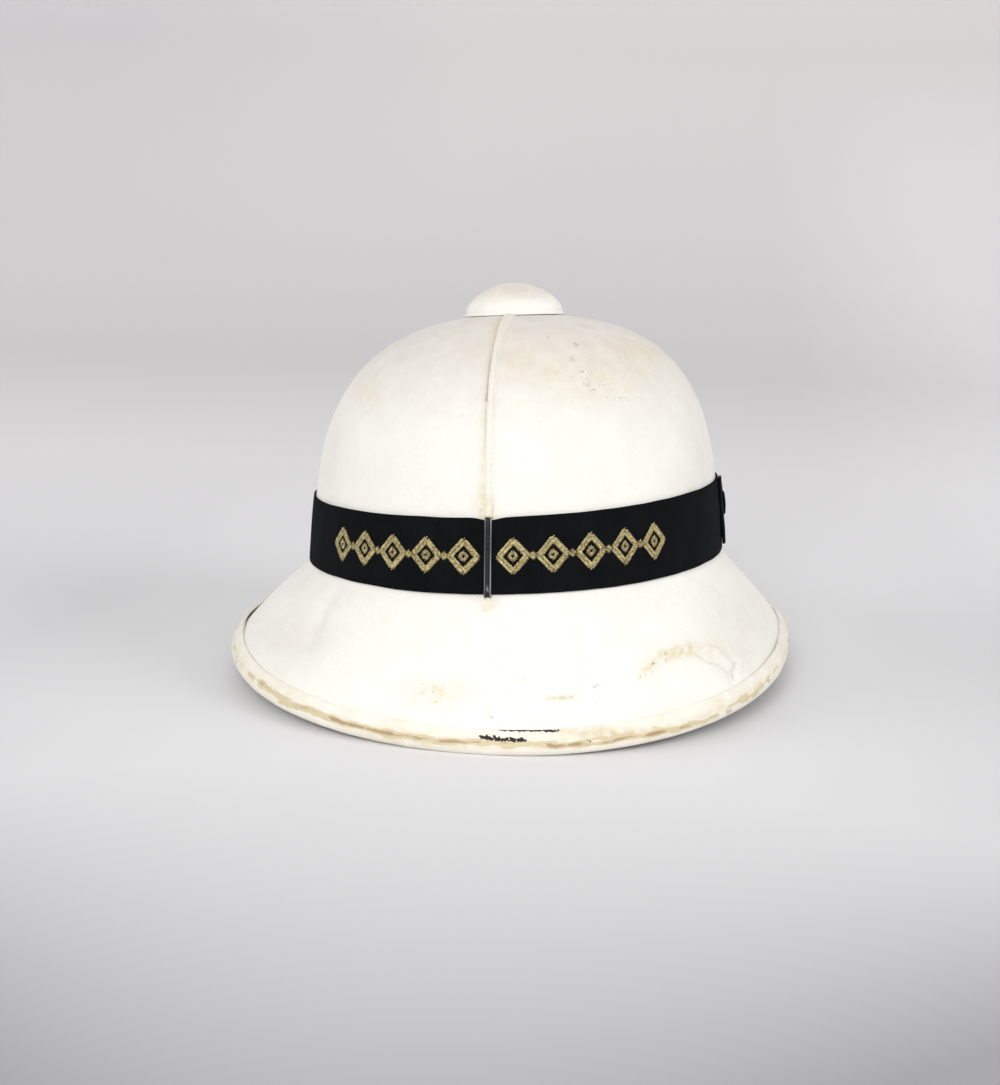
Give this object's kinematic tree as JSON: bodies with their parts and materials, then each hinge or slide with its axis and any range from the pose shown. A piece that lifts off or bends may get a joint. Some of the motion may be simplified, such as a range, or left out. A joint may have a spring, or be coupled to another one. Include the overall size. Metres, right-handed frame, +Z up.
{
  "type": "pith helmet",
  "caption": "Domed sun helmet with a sloping bound brim, a rounded ventilator button on top, a lapped front seam and a dark ribbon tied in a flat side bow.",
  "frame": {"origin": "middle of the bounding box in plan, on the plane that the brim stands on; the crown's axis is 18.3 mm forward of it", "axes": "+Z up through the crown, -Y towards the front of the helmet, +X towards the wearer's left"},
  "size_m": [0.2614, 0.3278, 0.1803],
  "materials": {
    "white_cloth": "matt white drill stretched over pith, whitened, with tan stains",
    "button_cloth": "matt whitened cloth drawn over the button, slightly soiled",
    "seam_cloth": "matt white cloth, folded and lapped, stained along one edge",
    "binding_leather": "whitened leather worn to tan along its ridge",
    "black_ribbon": "black ribbed silk ribbon with a soft sheen",
    "clip_metal": "dark japanned steel with bright rolled rims"
  },
  "bodies": {
    "root": {"shell": "white_cloth", "binding": "binding_leather", "button": "button_cloth", "front_seam": "seam_cloth", "back_seam": "seam_cloth", "ribbon": "black_ribbon", "ribbon_clip": "clip_metal", "bow_loops": "black_ribbon", "bow_knot": "black_ribbon", "bow_tail": "black_ribbon"}
  },
  "joints": []
}
